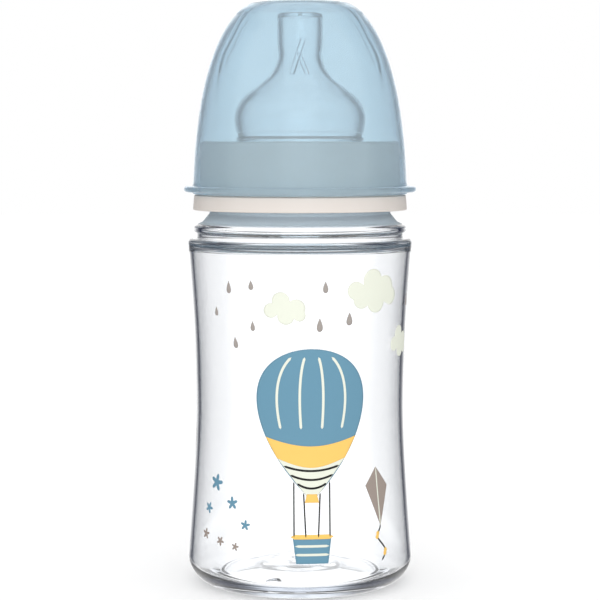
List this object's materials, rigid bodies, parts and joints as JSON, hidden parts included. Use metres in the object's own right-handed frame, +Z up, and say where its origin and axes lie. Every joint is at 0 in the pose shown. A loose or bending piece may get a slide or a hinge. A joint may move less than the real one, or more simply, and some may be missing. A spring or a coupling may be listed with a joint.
{
  "type": "baby bottle",
  "caption": "Clear waisted feeding bottle with a wide threaded neck, screw ring, one-piece silicone teat and a translucent push-on dome cap.",
  "frame": {"origin": "middle of the foot, on the surface that the bottle stands on", "axes": "+Z up along the bottle's axis towards the cap, -Y towards the printed front, +X to the right when seen from the front"},
  "size_m": [0.0678, 0.0678, 0.17],
  "materials": {
    "clear_plastic": "clear and glossy, with a printed picture on the front",
    "clear_silicone": "clear and soft with a faint haze",
    "ivory_plastic": "satin",
    "blue_plastic": "translucent and glossy"
  },
  "bodies": {
    "bottle": {"bottle": "clear_plastic"},
    "teat": {"teat": "clear_silicone"},
    "screw_ring": {"screw_ring": "ivory_plastic"},
    "cap": {"cap": "blue_plastic"}
  },
  "joints": [
    {"name": "thread_rise", "type": "slide", "parent": "bottle", "child": "teat", "axis": [0, 0, 1], "range_m": [0, 0.00675]},
    {"name": "ring_turn", "type": "hinge", "parent": "teat", "child": "screw_ring", "pos_m": [0, 0, 0.1195], "axis": [0, 0, 1], "range_deg": [0, 540]},
    {"name": "cap_lift", "type": "slide", "parent": "screw_ring", "child": "cap", "axis": [0, 0, 1], "range_m": [0, 0.06]}
  ],
  "couplings": [
    {"joint": "thread_rise", "follows": "ring_turn", "m_per_rad": 0.0007162}
  ]
}
